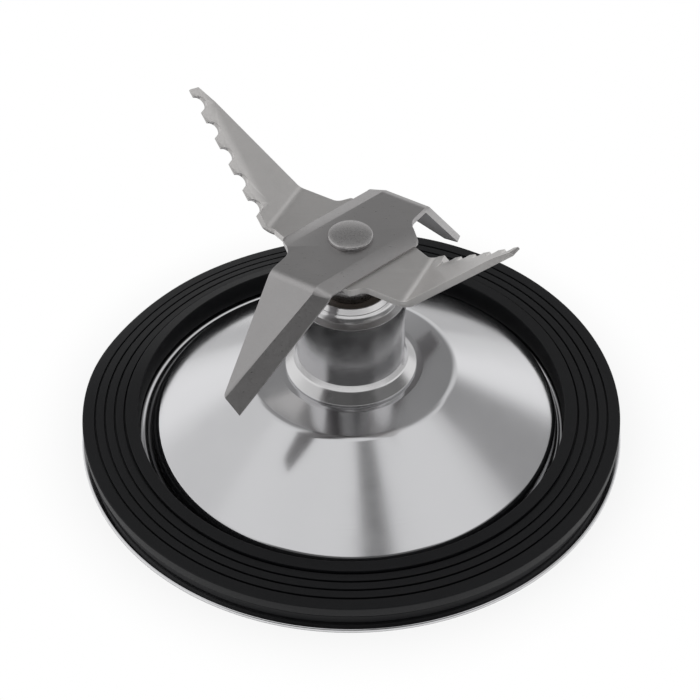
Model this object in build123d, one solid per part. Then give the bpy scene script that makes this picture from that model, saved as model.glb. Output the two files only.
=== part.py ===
from build123d import *

import os
from math import cos, degrees, radians, sin, tan

# Blender blade assembly: a pressed steel base with a rubber sealing ring, a turned
# bearing housing, a shaft on two ball bearings and two crossed, ground blades.
# Millimetres, +Z up along the shaft, origin on the shaft axis at the underside of
# the base flange. The blades turn counter-clockwise seen from above.

# Base pressing
BASE_SHEET = 0.7
FLANGE_RADIUS = 55.6
FLANGE_WIDTH = 13.3
SEAT_RADIUS = 14.5
SEAT_BEND = 1.5
LAND_RADIUS = 20.9
LAND_HEIGHT = 16.8
LAND_DROP = 0.75
LAND_BEND = 4.0
BROW_SET_BACK = 0.9
BROW_HEIGHT = 4.8
BROW_BEND = 1.6
FOOT_BEND = 0.4
BEAD_SET_BACK = 0.2
BEAD_HALF_WIDTH = 0.7
BEAD_HEIGHT = 0.35
BEAD_BEND = 0.9

# Sealing ring, lying on the flange between the foot of the cone and the flange's edge
FLANGE_SHOWING = 0.6
CONE_GAP = 1.4
GASKET_HEIGHT = 5.4
GASKET_EDGE = 0.3
GASKET_FOOT = 0.9
GASKET_LIP_SET_BACK = 0.9
RIM_RISE = 0.4
RIM_WIDTH = 2.5
GROOVE_COUNT = 4
OUTER_BAND = 2.8
GROOVE_WIDTH = 0.4
GROOVE_DEPTH = 0.6
SIDE_GROOVE_HEIGHT = 2.2
SIDE_GROOVE_WIDTH = 1.0
SIDE_GROOVE_DEPTH = 1.6

# Bearing housing
HOUSING_RADIUS = 10.8
HOUSING_TOP = 37.8
HOUSING_STUB_RADIUS = 10.0
HOUSING_STUB_END = 10.0
FOOT_RADIUS = 13.2
FOOT_THICKNESS = 0.6
FOOT_EDGE = 0.2
FOOT_FILLET = 2.15
CROWN_STEP = 1.4
CROWN_HEIGHT = 0.35
CROWN_EDGE = 0.3
WALL_ROUND = 1.3
MOUTH_RADIUS = 7.5
MOUTH_ROUND = 0.8
MOUTH_LIP = 1.0
WASHER_THICKNESS = 0.2
WASHER_INSET = 0.8
LOCK_WASHER_THICKNESS = 0.8
LOCK_WASHER_RADIUS = 13.0
LOCK_TOOTH_COUNT = 12
LOCK_TOOTH_DEPTH = 1.2
NUT_ACROSS_FLATS = 27.0
NUT_THICKNESS = 3.7
NUT_CHAMFER = 0.8

# Ball bearings, both alike
BEARING_BORE_RADIUS = 4.0
BEARING_RADIUS = 8.0
BEARING_WIDTH = 5.0
RING_THICKNESS = 1.25
BALL_RADIUS = 1.2
BALL_COUNT = 8
CAGE_THICKNESS = 0.7
CAGE_HEIGHT = 3.4
SHIELD_THICKNESS = 0.3
SHIELD_RECESS = 0.15
SHIELD_GAP = 0.15
SPACER_LENGTH = 6.0
SPACER_WALL = 1.0

# Shaft seal
SEAL_HEIGHT = 3.6
SEAL_CASE_WALL = 0.45
SEAL_CASE_RADIUS = 6.2
SEAL_LIP_HEIGHT = 0.8
SEAL_RELIEF = 0.9

# Shaft
SEAL_JOURNAL_RADIUS = 5.0
COLLAR_RADIUS = 5.7
COLLAR_FLANGE = 1.4
COLLAR_WAIST = 4.8
COLLAR_GAP = 0.5
NECK_RADIUS = 3.6
NECK_HALF_FLAT = 2.8
HEAD_RADIUS = 4.35
HEAD_EDGE = 0.8
HEAD_DOME = 0.5
HEAD_ROUND = 0.4
THREAD_RADIUS = 3.0
CIRCLIP_THICKNESS = 0.9
CIRCLIP_WIDTH = 1.7
CIRCLIP_SEAT = 0.6
CIRCLIP_GAP_ANGLE = 70.0
EAR_RADIUS = 1.3
EAR_HOLE_RADIUS = 0.55

# Drive coupling
COUPLING_RADIUS = 11.5
COUPLING_FLOOR = 1.0
COUPLING_HEIGHT = 7.6
COUPLING_EDGE = 0.8
SOCKET_RADIUS = 8.6
SOCKET_DEPTH = 4.8
SOCKET_TOOTH_COUNT = 6
SOCKET_TOOTH_WIDTH = 3.0
SOCKET_TOOTH_RADIUS = 6.3
HUB_RADIUS = 6.2
HUB_RISE = 3.2
INSERT_RADIUS = 4.6
INSERT_GROOVE = 0.5

# Blades, both cut from one ground strip
BLADE_SHEET = 1.4
BLADE_HALF_WIDTH = 9.3
BLADE_UNDERSIDE = 46.4
GRIND_DROP = 0.9

# Upper blade: plain edges, arms folded down
UPPER_TURN_ANGLE = 237.4
UPPER_SKEW_ANGLE = 15.5
UPPER_BEND_START = 14.8
UPPER_FRONT_BEND_ANGLE = -43.7
UPPER_BACK_BEND_ANGLE = -50.2
UPPER_BEND_RADIUS = 1.6
UPPER_CORNER = 6.4
UPPER_CORNER_ROUND = 1.6
UPPER_NOTCH_ALONG = 10.0
UPPER_NOTCH_ACROSS = -7.2
UPPER_NOTCH_RADIUS = 3.6
UPPER_TRAIL = -7.4
UPPER_ARM_LENGTH = 26.0
UPPER_TIP_LEAD = -2.4
UPPER_TIP_SLANT = 2.2
UPPER_TIP_TRAIL = -6.4
UPPER_TIP_ROUND = 1.2
UPPER_GRIND_AT_FOLD = 3.2
UPPER_GRIND_AT_TIP = 4.3

# Lower blade: serrated edges, arms folded up
LOWER_TURN_ANGLE = 154.8
LOWER_SKEW_ANGLE = 24.4
LOWER_BEND_START = 15.0
LOWER_LEFT_BEND_ANGLE = 37.0
LOWER_RIGHT_BEND_ANGLE = 46.0
LOWER_BEND_RADIUS = 3.0
LOWER_CORNER = 5.7
LOWER_CORNER_ROUND = 0.6
LOWER_NOTCH_ALONG = 7.7
LOWER_NOTCH_ACROSS = -10.5
LOWER_NOTCH_RADIUS = 2.0
LOWER_LEAD_INSET = 1.0
LOWER_TRAIL = -11.4
LOWER_ARM_LENGTH = 27.9
LOWER_TIP_LEAD = -11.2
LOWER_TIP_SLANT = 0.9
LOWER_TIP_TRAIL = -12.8
LOWER_TIP_ROUND = 0.3
LOWER_GRIND = 3.9
TOOTH_COUNT = 5
FIRST_TOOTH = 2.3
TOOTH_PITCH = 5.25
SCALLOP_LENGTH = 3.4
SCALLOP_DEPTH = 1.33
SCALLOP_LEAD_IN = 0.7
SCALLOP_MIDDLE = 2.05
SCALLOP_MIDDLE_DEPTH = 1.69

# Grinding tool, larger than what it cuts
TOOL_LENGTH = 60.0
TOOL_WIDTH = 20.0

# Clearances
FIT = 0.02
RUNNING = 0.08
RACE_CLEARANCE = 0.1
LOOSE = 0.1

# Radii and heights worked out from the sizes above
cone_foot_radius = FLANGE_RADIUS - FLANGE_WIDTH
gasket_bore = cone_foot_radius + CONE_GAP
foot_underside = LAND_HEIGHT + WASHER_THICKNESS
foot_top = foot_underside + FOOT_THICKNESS
seal_top = HOUSING_TOP - MOUTH_LIP
upper_bearing_top = seal_top - SEAL_HEIGHT
upper_bearing_base = upper_bearing_top - BEARING_WIDTH
lower_bearing_top = upper_bearing_base - SPACER_LENGTH
lower_bearing_base = lower_bearing_top - BEARING_WIDTH
circlip_base = lower_bearing_base - CIRCLIP_THICKNESS
land_underside = LAND_HEIGHT - BASE_SHEET
nut_top = land_underside - LOCK_WASHER_THICKNESS
coupling_top = COUPLING_FLOOR + COUPLING_HEIGHT
hub_top = coupling_top + HUB_RISE
socket_roof = COUPLING_FLOOR + SOCKET_DEPTH
insert_middle = (socket_roof + hub_top) / 2
lower_blade_top = BLADE_UNDERSIDE + BLADE_SHEET
upper_blade_top = lower_blade_top + BLADE_SHEET
bore_radius = BEARING_RADIUS + FIT
pitch_radius = (BEARING_BORE_RADIUS + BEARING_RADIUS) / 2
race_radius = BALL_RADIUS + RACE_CLEARANCE


def turned(points):
    """Solid of revolution about the shaft axis from (radius, height) points."""
    face = make_face(Polyline(*points, close=True))
    return revolve(Plane.XZ * face, Axis.Z)


def washer(inner, outer, base, thickness):
    """Flat ring standing on the given height."""
    return Pos(0, 0, base) * extrude(Circle(outer) - Circle(inner), thickness)


def circles_at(solid, radius, height):
    """Circular edges of a turned solid at one radius and height."""
    edges = solid.edges().filter_by(GeomType.CIRCLE)
    near = edges.filter_by(lambda e: abs(e.radius - radius) < FIT / 2)
    return near.filter_by(lambda e: abs(e.arc_center.Z - height) < FIT / 2)


def double_flat(radius, half_flat):
    """Round shape with two flats, for the blade seat and its holes."""
    return Circle(radius) & Rectangle(2 * half_flat, 2 * radius)


def parallel(corners, distance):
    """Corners of the line that runs a distance to the right of another one."""
    steps = [Vector(*b) - Vector(*a) for a, b in zip(corners, corners[1:])]
    sides = [Vector(step.Y, -step.X).normalized() for step in steps]
    before = [sides[0], *sides]
    after = [*sides, sides[-1]]
    moved = []
    for corner, one, two in zip(corners, before, after):
        shift = (one + two) * (distance / (1 + one.dot(two)))
        moved.append((corner[0] + shift.X, corner[1] + shift.Y))
    return moved


def base_dish():
    """Pressed base: seat, land, cone, wall and beaded flange from one sheet."""
    hole = HOUSING_STUB_RADIUS + LOOSE
    bead = gasket_bore - BEAD_SET_BACK
    corners = [
        (hole, LAND_HEIGHT),
        (SEAT_RADIUS, LAND_HEIGHT),
        (LAND_RADIUS, LAND_HEIGHT - LAND_DROP),
        (cone_foot_radius - BROW_SET_BACK, BROW_HEIGHT),
        (cone_foot_radius, BASE_SHEET),
        (bead - BEAD_HALF_WIDTH, BASE_SHEET),
        (bead, BASE_SHEET + BEAD_HEIGHT),
        (bead + BEAD_HALF_WIDTH, BASE_SHEET),
        (FLANGE_RADIUS, BASE_SHEET),
    ]
    convex = [SEAT_BEND, LAND_BEND, BROW_BEND]
    concave = FOOT_BEND
    top = FilletPolyline(*corners, radius=[*convex, concave, concave, BEAD_BEND, concave])
    inside = [bend - BASE_SHEET for bend in convex]
    outside = concave + BASE_SHEET
    underside = FilletPolyline(
        *parallel(corners, BASE_SHEET),
        radius=[*inside, outside, outside, BEAD_BEND - BASE_SHEET, outside],
    )
    ends = [Line(top @ 0, underside @ 0), Line(top @ 1, underside @ 1)]
    face = make_face([*top.edges(), *underside.edges(), *ends])
    return revolve(Plane.XZ * face, Axis.Z)


def sealing_gasket():
    """Rubber ring with a grooved top and a groove round its side."""
    inner = gasket_bore
    outer = FLANGE_RADIUS - FLANGE_SHOWING
    base = BASE_SHEET
    top = base + GASKET_HEIGHT
    side = base + SIDE_GROOVE_HEIGHT
    lip = outer - GASKET_LIP_SET_BACK
    ring = turned([
        (inner + GASKET_FOOT, base),
        (lip - GASKET_EDGE, base),
        (lip, base + GASKET_EDGE),
        (lip, side),
        (lip - SIDE_GROOVE_DEPTH, side),
        (lip - SIDE_GROOVE_DEPTH, side + SIDE_GROOVE_WIDTH),
        (outer, side + SIDE_GROOVE_WIDTH),
        (outer, top - GASKET_EDGE),
        (outer - GASKET_EDGE, top),
        (inner + RIM_WIDTH, top),
        (inner + RIM_WIDTH, top + RIM_RISE),
        (inner, top + RIM_RISE),
        (inner, base + GASKET_FOOT),
    ])
    first = outer - OUTER_BAND
    pitch = (first - inner - RIM_WIDTH) / (GROOVE_COUNT - 1)
    for number in range(GROOVE_COUNT):
        edge = first - number * pitch
        ring -= washer(edge, edge + GROOVE_WIDTH, top - GROOVE_DEPTH, GROOVE_DEPTH + RIM_RISE)
    return ring


def bearing_housing():
    """Turned tower with a foot, a threaded stub and a bore open from below."""
    crown = HOUSING_RADIUS - CROWN_STEP
    step = HOUSING_TOP - CROWN_HEIGHT
    groove = bore_radius + CIRCLIP_SEAT
    body = turned([
        (bore_radius, HOUSING_STUB_END),
        (HOUSING_STUB_RADIUS, HOUSING_STUB_END),
        (HOUSING_STUB_RADIUS, foot_underside),
        (FOOT_RADIUS, foot_underside),
        (FOOT_RADIUS, foot_top),
        (HOUSING_RADIUS, foot_top),
        (HOUSING_RADIUS, step),
        (crown, step),
        (crown, HOUSING_TOP),
        (MOUTH_RADIUS, HOUSING_TOP),
        (MOUTH_RADIUS, seal_top),
        (bore_radius, seal_top),
        (bore_radius, lower_bearing_base),
        (groove, lower_bearing_base),
        (groove, circlip_base),
        (bore_radius, circlip_base),
    ])
    body = fillet(circles_at(body, FOOT_RADIUS, foot_top), FOOT_EDGE)
    body = fillet(circles_at(body, HOUSING_RADIUS, foot_top), FOOT_FILLET)
    body = fillet(circles_at(body, HOUSING_RADIUS, step), WALL_ROUND)
    body = fillet(circles_at(body, MOUTH_RADIUS, HOUSING_TOP), MOUTH_ROUND)
    return fillet(circles_at(body, crown, HOUSING_TOP), CROWN_EDGE)


def lock_washer():
    """Lock washer with notches cut between its outer teeth."""
    inner = HOUSING_STUB_RADIUS + LOOSE
    disc = washer(inner, LOCK_WASHER_RADIUS, nut_top, LOCK_WASHER_THICKNESS)
    notch = Cylinder(LOCK_TOOTH_DEPTH, 2 * LOCK_WASHER_THICKNESS)
    middle = nut_top + LOCK_WASHER_THICKNESS / 2
    for place in PolarLocations(LOCK_WASHER_RADIUS, LOCK_TOOTH_COUNT):
        disc -= Pos(0, 0, middle) * place * notch
    return disc


def clamp_nut():
    """Thin hexagon nut that holds the housing in the base."""
    base = nut_top - NUT_THICKNESS
    flats = NUT_ACROSS_FLATS / 2
    corner = flats / cos(radians(30))
    blank = Pos(0, 0, base) * extrude(RegularPolygon(corner, 6), NUT_THICKNESS)
    cap = turned([
        (HOUSING_STUB_RADIUS + FIT, base),
        (corner - NUT_CHAMFER, base),
        (corner, base + NUT_CHAMFER / 2),
        (corner, nut_top),
        (HOUSING_STUB_RADIUS + FIT, nut_top),
    ])
    return blank & cap


def race():
    """Ring-shaped tool that cuts the ball track, centred on the origin."""
    return Torus(pitch_radius, race_radius)


def inner_ring(base):
    """Inner bearing ring with its ball track."""
    bore = BEARING_BORE_RADIUS + FIT
    ring = washer(bore, BEARING_BORE_RADIUS + RING_THICKNESS, base, BEARING_WIDTH)
    return ring - Pos(0, 0, base + BEARING_WIDTH / 2) * race()


def outer_ring(base):
    """Outer bearing ring with its ball track."""
    ring = washer(BEARING_RADIUS - RING_THICKNESS, BEARING_RADIUS, base, BEARING_WIDTH)
    return ring - Pos(0, 0, base + BEARING_WIDTH / 2) * race()


def balls(base):
    """One bearing's set of balls."""
    middle = Pos(0, 0, base + BEARING_WIDTH / 2)
    places = PolarLocations(pitch_radius, BALL_COUNT)
    return Compound([middle * place * Sphere(BALL_RADIUS) for place in places])


def cage(base):
    """Ring with a pocket for each ball."""
    inner = pitch_radius - CAGE_THICKNESS / 2
    foot = base + (BEARING_WIDTH - CAGE_HEIGHT) / 2
    ring = washer(inner, inner + CAGE_THICKNESS, foot, CAGE_HEIGHT)
    pocket = Rot(0, 90, 0) * Cylinder(BALL_RADIUS + LOOSE, 2 * CAGE_THICKNESS)
    middle = Pos(0, 0, base + BEARING_WIDTH / 2)
    for place in PolarLocations(pitch_radius, BALL_COUNT):
        ring -= middle * place * pocket
    return ring


def shields(base):
    """The two thin covers of one bearing, held in its outer ring."""
    inner = BEARING_BORE_RADIUS + RING_THICKNESS + SHIELD_GAP
    outer = BEARING_RADIUS - RING_THICKNESS - FIT
    low = base + SHIELD_RECESS
    high = base + BEARING_WIDTH - SHIELD_RECESS - SHIELD_THICKNESS
    return Compound([washer(inner, outer, z, SHIELD_THICKNESS) for z in (low, high)])


def seal_case():
    """Steel case of the shaft seal, with its flange against the bearing."""
    wall = BEARING_RADIUS - SEAL_CASE_WALL
    return turned([
        (SEAL_CASE_RADIUS, upper_bearing_top),
        (BEARING_RADIUS, upper_bearing_top),
        (BEARING_RADIUS, seal_top),
        (wall, seal_top),
        (wall, upper_bearing_top + SEAL_CASE_WALL),
        (SEAL_CASE_RADIUS, upper_bearing_top + SEAL_CASE_WALL),
    ])


def seal_lip():
    """Rubber of the shaft seal: a body in the case and a lip round the shaft."""
    outer = BEARING_RADIUS - SEAL_CASE_WALL - FIT
    base = upper_bearing_top + SEAL_CASE_WALL + FIT
    contact = SEAL_JOURNAL_RADIUS + RUNNING
    relief = SEAL_JOURNAL_RADIUS + SEAL_RELIEF
    shelf = seal_top - SEAL_LIP_HEIGHT
    middle = (contact + outer) / 2
    return turned([
        (relief, base),
        (outer, base),
        (outer, shelf),
        (middle, shelf),
        (contact + SEAL_CASE_WALL, seal_top),
        (contact, seal_top),
        (contact, seal_top - SEAL_CASE_WALL),
        (relief, shelf - SEAL_LIP_HEIGHT),
    ])


def drive_shaft():
    """Shaft turned from one bar, its top peened over the blades."""
    collar = HOUSING_TOP + COLLAR_GAP
    seat = BEARING_BORE_RADIUS - CIRCLIP_SEAT
    shaft = turned([
        (0, socket_roof),
        (THREAD_RADIUS, socket_roof),
        (THREAD_RADIUS, hub_top),
        (BEARING_BORE_RADIUS, hub_top),
        (BEARING_BORE_RADIUS, circlip_base),
        (seat, circlip_base),
        (seat, lower_bearing_base),
        (BEARING_BORE_RADIUS, lower_bearing_base),
        (BEARING_BORE_RADIUS, upper_bearing_top),
        (SEAL_JOURNAL_RADIUS, upper_bearing_top),
        (SEAL_JOURNAL_RADIUS, collar),
        (COLLAR_RADIUS, collar),
        (COLLAR_RADIUS, collar + COLLAR_FLANGE),
        (COLLAR_WAIST, collar + 2 * COLLAR_FLANGE),
        (COLLAR_WAIST, BLADE_UNDERSIDE - 2 * COLLAR_FLANGE),
        (COLLAR_RADIUS, BLADE_UNDERSIDE - COLLAR_FLANGE),
        (COLLAR_RADIUS, BLADE_UNDERSIDE),
        (0, BLADE_UNDERSIDE),
    ])
    neck = double_flat(NECK_RADIUS, NECK_HALF_FLAT)
    shaft += Pos(0, 0, BLADE_UNDERSIDE) * extrude(neck, 2 * BLADE_SHEET)
    edge = upper_blade_top + HEAD_EDGE
    rim = (HEAD_RADIUS, edge)
    crest = (0, edge + HEAD_DOME)
    dome_radius = (HEAD_RADIUS**2 + HEAD_DOME**2) / (2 * HEAD_DOME)
    outline = [
        RadiusArc(rim, crest, -dome_radius),
        Line(crest, (0, upper_blade_top)),
        Line((0, upper_blade_top), (HEAD_RADIUS, upper_blade_top)),
        Line((HEAD_RADIUS, upper_blade_top), rim),
    ]
    shaft += revolve(Plane.XZ * make_face(outline), Axis.Z)
    return fillet(circles_at(shaft, HEAD_RADIUS, edge), HEAD_ROUND)


def open_ring(inner, outer, gap_angle):
    """Flat ring with a gap centred on +X."""
    reach = 2 * outer
    half = radians(gap_angle / 2)
    wedge = make_face(Polyline(
        (0, 0),
        (reach * cos(half), -reach * sin(half)),
        (reach * cos(half), reach * sin(half)),
        close=True,
    ))
    return Circle(outer) - Circle(inner) - wedge


def shaft_circlip():
    """Open clip in the shaft groove under the lower bearing."""
    inner = BEARING_BORE_RADIUS - CIRCLIP_SEAT + FIT
    clip = open_ring(inner, inner + CIRCLIP_WIDTH, CIRCLIP_GAP_ANGLE)
    return Pos(0, 0, circlip_base) * extrude(clip, CIRCLIP_THICKNESS)


def housing_circlip():
    """Spring ring in the housing groove, with two ears for the pliers."""
    outer = bore_radius + CIRCLIP_SEAT - FIT
    inner = outer - CIRCLIP_WIDTH
    clip = open_ring(inner, outer, CIRCLIP_GAP_ANGLE / 2)
    turn = CIRCLIP_GAP_ANGLE / 4 + degrees(EAR_RADIUS / inner)
    for side in (-turn, turn):
        ear = Rot(0, 0, side) * Pos(inner, 0)
        clip += ear * Circle(EAR_RADIUS)
        clip -= ear * Circle(EAR_HOLE_RADIUS)
    return Pos(0, 0, circlip_base) * extrude(clip, CIRCLIP_THICKNESS)


def drive_coupling():
    """Coupling moulded round its insert, with a toothed drive socket open downwards."""
    body = turned([
        (INSERT_RADIUS + FIT, COUPLING_FLOOR),
        (COUPLING_RADIUS - COUPLING_EDGE, COUPLING_FLOOR),
        (COUPLING_RADIUS, COUPLING_FLOOR + COUPLING_EDGE),
        (COUPLING_RADIUS, coupling_top - COUPLING_EDGE),
        (COUPLING_RADIUS - COUPLING_EDGE, coupling_top),
        (HUB_RADIUS, coupling_top),
        (HUB_RADIUS, hub_top),
        (INSERT_RADIUS + FIT, hub_top),
        (INSERT_RADIUS + FIT, insert_middle + INSERT_GROOVE - FIT),
        (INSERT_RADIUS - INSERT_GROOVE + FIT, insert_middle + INSERT_GROOVE - FIT),
        (INSERT_RADIUS - INSERT_GROOVE + FIT, insert_middle - INSERT_GROOVE + FIT),
        (INSERT_RADIUS + FIT, insert_middle - INSERT_GROOVE + FIT),
    ])
    tooth = Rectangle(SOCKET_RADIUS - SOCKET_TOOTH_RADIUS, SOCKET_TOOTH_WIDTH)
    socket = Circle(SOCKET_RADIUS)
    middle = (SOCKET_RADIUS + SOCKET_TOOTH_RADIUS) / 2
    for place in PolarLocations(middle, SOCKET_TOOTH_COUNT):
        socket -= place * tooth
    return body - Pos(0, 0, COUPLING_FLOOR) * extrude(socket, SOCKET_DEPTH)


def coupling_insert():
    """Threaded metal insert, held by its groove in the moulded coupling."""
    middle = insert_middle
    waist = INSERT_RADIUS - INSERT_GROOVE
    return turned([
        (THREAD_RADIUS + FIT, socket_roof),
        (INSERT_RADIUS, socket_roof),
        (INSERT_RADIUS, middle - INSERT_GROOVE),
        (waist, middle - INSERT_GROOVE),
        (waist, middle + INSERT_GROOVE),
        (INSERT_RADIUS, middle + INSERT_GROOVE),
        (INSERT_RADIUS, hub_top),
        (THREAD_RADIUS + FIT, hub_top),
    ])


def strip_edge(along, skew):
    """Offset of the ground strip's edge, at a distance along the fold's own axis."""
    turn = radians(skew)
    return BLADE_HALF_WIDTH / cos(turn) - along * tan(turn)


def grinding_tool(start, end, start_width, end_width, run_in):
    """Block above the ground face of a flat edge that runs from start to end."""
    ridge_start = Vector(start[0], start[1] - start_width, 0)
    ridge_end = Vector(end[0], end[1] - end_width, 0)
    edge = Vector(start[0], start[1], -GRIND_DROP)
    along = ridge_end - ridge_start
    plane = Plane(ridge_start, x_dir=along, z_dir=along.cross(edge - ridge_start))
    block = Box(TOOL_LENGTH, TOOL_WIDTH, TOOL_WIDTH, align=(Align.MIN, Align.MIN, Align.MIN))
    return plane * Pos(run_in, 0, 0) * block


def rounded_at(face, point, radius):
    """Flat face with the corners at a point and opposite it rounded."""
    picked = [v for v in face.vertices() if abs(abs(v.X) - abs(point[0])) < FIT
              and abs(abs(v.Y) - abs(point[1])) < FIT]
    return fillet(picked, radius)


def blade_plate(skew, start, lead, corner, corner_round, notch, notch_round, trail):
    """Flat middle of a blade, top face at height zero, cut off at both folds."""
    far = (-corner, strip_edge(-corner, skew))
    half = [far, (start, lead), (start, trail), notch]
    outline = half + [(-x, -y) for x, y in half]
    face = make_face(Polyline(*outline, close=True))
    face = rounded_at(face, notch, notch_round)
    face = rounded_at(face, far, corner_round)
    return extrude(face, -BLADE_SHEET)


def seated(blade, turn, top):
    """Blade turned to its place on the shaft, with the hole for the shaft's neck."""
    hole = extrude(double_flat(NECK_RADIUS + FIT, NECK_HALF_FLAT + FIT), -BLADE_SHEET)
    return Pos(0, 0, top) * (Rot(0, 0, turn) * blade - hole)


def bend_section(lead, trail, grind_width):
    """Cross-section of the sheet at a fold, as (across, height) points."""
    if grind_width:
        edge = [(lead - grind_width, 0), (lead, -GRIND_DROP)]
    else:
        edge = [(lead, 0)]
    return [(trail, 0), *edge, (lead, -BLADE_SHEET), (trail, -BLADE_SHEET)]


def folded_arm(arm, section, start, bend, inner_radius):
    """Bend and arm: the arm is modelled flat and swung about the bend's axis."""
    if bend > 0:
        axis = Axis((start, 0, inner_radius), (0, -1, 0))
    else:
        axis = Axis((start, 0, -BLADE_SHEET - inner_radius), (0, 1, 0))
    face = Plane((start, 0, 0), x_dir=(0, 1, 0), z_dir=(1, 0, 0)) * make_face(
        Polyline(*section, close=True)
    )
    return revolve(face, axis, abs(bend)) + arm.rotate(axis, abs(bend))


def tapered_arm(start, lead, trail, length, tip_lead, tip_slant, tip_trail, tip_round):
    """Flat outline of an arm, from its fold to its rounded tip."""
    heel = (start + length - tip_slant, tip_trail)
    face = make_face(Polyline(
        (start, lead),
        (start + length, tip_lead),
        heel,
        (start, trail),
        close=True,
    ))
    return extrude(rounded_at(face, heel, tip_round), -BLADE_SHEET)


def scallops(start, end):
    """Cutters for the saw teeth along an edge that runs from start to end."""
    edge = Vector(end[0] - start[0], end[1] - start[1]).normalized()
    inward = Vector(edge.Y, -edge.X)
    step = TOOTH_PITCH / edge.X
    first = Vector(*start) + edge * (FIRST_TOOTH / edge.X)
    cutters = []
    for number in range(TOOTH_COUNT):
        tip = first + edge * (number * step)
        root = tip + edge * SCALLOP_LEAD_IN + inward * SCALLOP_DEPTH
        bow = tip + edge * SCALLOP_MIDDLE + inward * SCALLOP_MIDDLE_DEPTH
        close = tip + edge * SCALLOP_LENGTH
        clear = inward * -SCALLOP_DEPTH
        face = make_face([
            Line(tip + clear, tip),
            Line(tip, root),
            ThreePointArc(root, bow, close),
            Line(close, close + clear),
            Line(close + clear, tip + clear),
        ])
        cutters.append(extrude(face, BLADE_SHEET * 2, both=True))
    return cutters


def upper_blade():
    """Plain blade: the strip's ground edge runs on round both down-turned arms."""
    start = UPPER_BEND_START
    lead = strip_edge(start, UPPER_SKEW_ANGLE)
    tip = (start + UPPER_ARM_LENGTH, UPPER_TIP_LEAD)
    notch = (UPPER_NOTCH_ALONG, UPPER_NOTCH_ACROSS)
    blade = blade_plate(UPPER_SKEW_ANGLE, start, lead, UPPER_CORNER, UPPER_CORNER_ROUND,
                        notch, UPPER_NOTCH_RADIUS, UPPER_TRAIL)
    grind = grinding_tool((start, lead), (2 * start, strip_edge(2 * start, UPPER_SKEW_ANGLE)),
                          UPPER_GRIND_AT_FOLD, UPPER_GRIND_AT_FOLD, -TOOL_LENGTH / 2)
    blade = blade - grind - Rot(0, 0, 180) * grind
    arm = tapered_arm(start, lead, UPPER_TRAIL, UPPER_ARM_LENGTH, UPPER_TIP_LEAD,
                      UPPER_TIP_SLANT, UPPER_TIP_TRAIL, UPPER_TIP_ROUND)
    arm -= grinding_tool((start, lead), tip, UPPER_GRIND_AT_FOLD, UPPER_GRIND_AT_TIP, -start)
    section = bend_section(lead, UPPER_TRAIL, UPPER_GRIND_AT_FOLD)
    bends = {0: UPPER_FRONT_BEND_ANGLE, 180: UPPER_BACK_BEND_ANGLE}
    for half_turn, bend in bends.items():
        folded = folded_arm(arm, section, start, bend, UPPER_BEND_RADIUS)
        blade += Rot(0, 0, half_turn) * folded
    return seated(blade, UPPER_TURN_ANGLE, upper_blade_top)


def lower_blade():
    """Serrated blade: both arms are turned up, ground and cut into saw teeth."""
    start = LOWER_BEND_START
    lead = strip_edge(start, LOWER_SKEW_ANGLE) - LOWER_LEAD_INSET
    tip = (start + LOWER_ARM_LENGTH, LOWER_TIP_LEAD)
    notch = (LOWER_NOTCH_ALONG, LOWER_NOTCH_ACROSS)
    blade = blade_plate(LOWER_SKEW_ANGLE, start, lead, LOWER_CORNER, LOWER_CORNER_ROUND,
                        notch, LOWER_NOTCH_RADIUS, LOWER_TRAIL)
    arm = tapered_arm(start, lead, LOWER_TRAIL, LOWER_ARM_LENGTH, LOWER_TIP_LEAD,
                      LOWER_TIP_SLANT, LOWER_TIP_TRAIL, LOWER_TIP_ROUND)
    arm -= grinding_tool((start, lead), tip, LOWER_GRIND, LOWER_GRIND, FIRST_TOOTH)
    for cutter in scallops((start, lead), tip):
        arm -= cutter
    section = bend_section(lead, LOWER_TRAIL, 0)
    bends = {0: LOWER_LEFT_BEND_ANGLE, 180: LOWER_RIGHT_BEND_ANGLE}
    for half_turn, bend in bends.items():
        folded = folded_arm(arm, section, start, bend, LOWER_BEND_RADIUS)
        blade += Rot(0, 0, half_turn) * folded
    return seated(blade, LOWER_TURN_ANGLE, lower_blade_top)


inner_spacer_radius = BEARING_BORE_RADIUS + FIT + SPACER_WALL
outer_spacer_radius = BEARING_RADIUS - SPACER_WALL
nodes = {
    "base_dish": base_dish(),
    "sealing_gasket": sealing_gasket(),
    "bearing_housing": bearing_housing(),
    "housing_washer": washer(HOUSING_STUB_RADIUS + LOOSE, FOOT_RADIUS - WASHER_INSET,
                             LAND_HEIGHT, WASHER_THICKNESS),
    "lock_washer": lock_washer(),
    "clamp_nut": clamp_nut(),
    "seal_case": seal_case(),
    "seal_lip": seal_lip(),
    "upper_outer_ring": outer_ring(upper_bearing_base),
    "upper_inner_ring": inner_ring(upper_bearing_base),
    "upper_bearing_balls": balls(upper_bearing_base),
    "upper_ball_cage": cage(upper_bearing_base),
    "upper_bearing_shields": shields(upper_bearing_base),
    "outer_spacer": washer(outer_spacer_radius, BEARING_RADIUS, lower_bearing_top,
                           SPACER_LENGTH),
    "inner_spacer": washer(BEARING_BORE_RADIUS + FIT, inner_spacer_radius, lower_bearing_top,
                           SPACER_LENGTH),
    "lower_outer_ring": outer_ring(lower_bearing_base),
    "lower_inner_ring": inner_ring(lower_bearing_base),
    "lower_bearing_balls": balls(lower_bearing_base),
    "lower_ball_cage": cage(lower_bearing_base),
    "lower_bearing_shields": shields(lower_bearing_base),
    "housing_circlip": housing_circlip(),
    "shaft_circlip": shaft_circlip(),
    "drive_shaft": drive_shaft(),
    "lower_blade": lower_blade(),
    "upper_blade": upper_blade(),
    "drive_coupling": drive_coupling(),
    "coupling_insert": coupling_insert(),
}

os.makedirs("parts", exist_ok=True)
for name, solid in nodes.items():
    export_step(solid, f"parts/{name}.step")
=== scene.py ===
from math import atan2, cos, exp, pi, radians, sin, tan

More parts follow.
